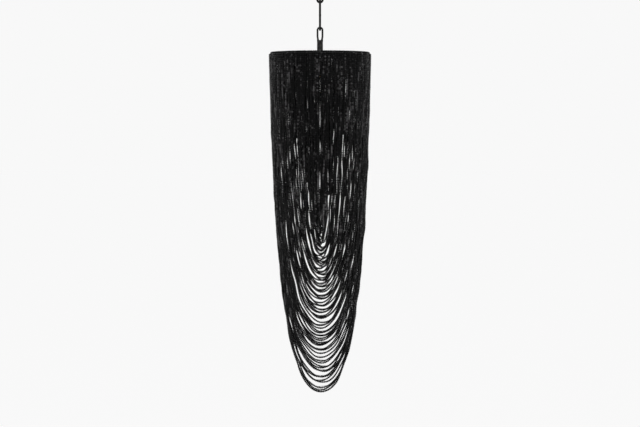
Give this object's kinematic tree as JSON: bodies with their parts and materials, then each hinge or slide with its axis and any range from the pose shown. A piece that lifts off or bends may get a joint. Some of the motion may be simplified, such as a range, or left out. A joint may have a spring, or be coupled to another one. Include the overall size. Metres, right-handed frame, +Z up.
{
  "type": "beaded chandelier",
  "caption": "Ceiling pendant on a chain of long links whose ring carries nested catenary loops of black bead strands around a single lamp",
  "frame": {"origin": "centre of the ceiling plate's upper face, where the rose meets the ceiling", "axes": "+Z up into the ceiling; the long strands span X, the cross strands span Y, and the pictured front faces -Y"},
  "size_m": [0.2986, 0.2988, 1.4843],
  "materials": {
    "black_bead": "satin black seed beads",
    "black_metal": "satin black, worn at the edges",
    "zinc_steel": "zinc plated",
    "brass": "plain",
    "black_phenolic": "moulded, slightly glossy",
    "terminal_plastic": "moulded",
    "ceramic": "unglazed porcelain",
    "clear_glass": "clear",
    "filament": "phosphor coated"
  },
  "bodies": {
    "rose": {"rose_cover": "black_metal", "ceiling_plate": "zinc_steel", "rose_bridge": "zinc_steel", "bridge_screw_left": "zinc_steel", "bridge_screw_right": "zinc_steel", "rose_nut_upper": "zinc_steel", "rose_nut_lower": "zinc_steel", "rose_threaded_tube": "zinc_steel", "terminal_block": "terminal_plastic", "terminal_screw_1": "brass", "terminal_screw_2": "brass", "terminal_screw_3": "brass", "rose_loop": "black_metal"},
    "link_1": {"chain_link_1": "black_metal"},
    "link_2": {"chain_link_2": "black_metal"},
    "link_3": {"chain_link_3": "black_metal"},
    "link_4": {"chain_link_4": "black_metal"},
    "pendant": {"pendant_loop": "black_metal", "pendant_threaded_tube": "zinc_steel", "hub_nut": "zinc_steel", "spider_hub": "black_metal", "spider_arm_back_right": "black_metal", "spider_arm_back_left": "black_metal", "spider_arm_front_left": "black_metal", "spider_arm_front_right": "black_metal", "ring_bar": "black_metal", "lampholder_cap": "black_phenolic", "lampholder_barrel": "black_phenolic", "lampholder_shade_ring": "black_phenolic", "lampholder_insert": "ceramic", "lampholder_screw_shell": "brass", "lampholder_contact": "brass", "long_strands_front_1": "black_bead", "long_strands_front_2": "black_bead", "long_strands_front_3": "black_bead", "long_strands_front_4": "black_bead", "long_strands_front_5": "black_bead", "long_strands_front_6": "black_bead", "long_strands_back_1": "black_bead", "long_strands_back_2": "black_bead", "long_strands_back_3": "black_bead", "long_strands_back_4": "black_bead", "long_strands_back_5": "black_bead", "long_strands_back_6": "black_bead", "cross_strands_left_1": "black_bead", "cross_strands_left_2": "black_bead", "cross_strands_left_3": "black_bead", "cross_strands_left_4": "black_bead", "cross_strands_right_1": "black_bead", "cross_strands_right_2": "black_bead", "cross_strands_right_3": "black_bead", "cross_strands_right_4": "black_bead"},
    "bulb": {"bulb_tip_contact": "brass", "bulb_cap": "brass", "bulb_glass": "clear_glass", "bulb_stem": "clear_glass", "bulb_filament": "filament"}
  },
  "joints": [
    {"name": "link_1_swing", "type": "hinge", "parent": "rose", "child": "link_1", "pos_m": [0, 0, -0.0966], "axis": [0, 1, 0], "range_deg": [-12, 12]},
    {"name": "link_2_swing", "type": "hinge", "parent": "link_1", "child": "link_2", "pos_m": [0, 0, -0.1768], "axis": [1, 0, 0], "range_deg": [-12, 12]},
    {"name": "link_3_swing", "type": "hinge", "parent": "link_2", "child": "link_3", "pos_m": [0, 0, -0.2565], "axis": [0, 1, 0], "range_deg": [-12, 12]},
    {"name": "link_4_swing", "type": "hinge", "parent": "link_3", "child": "link_4", "pos_m": [0, 0, -0.3362], "axis": [1, 0, 0], "range_deg": [-12, 12]},
    {"name": "pendant_swing", "type": "hinge", "parent": "link_4", "child": "pendant", "pos_m": [0, 0, -0.4159], "axis": [0, 1, 0], "range_deg": [-12, 12]},
    {"name": "bulb_turn", "type": "hinge", "parent": "pendant", "child": "bulb", "pos_m": [0, 0, -0.538], "axis": [0, 0, -1], "range_deg": [0, 1080]}
  ]
}
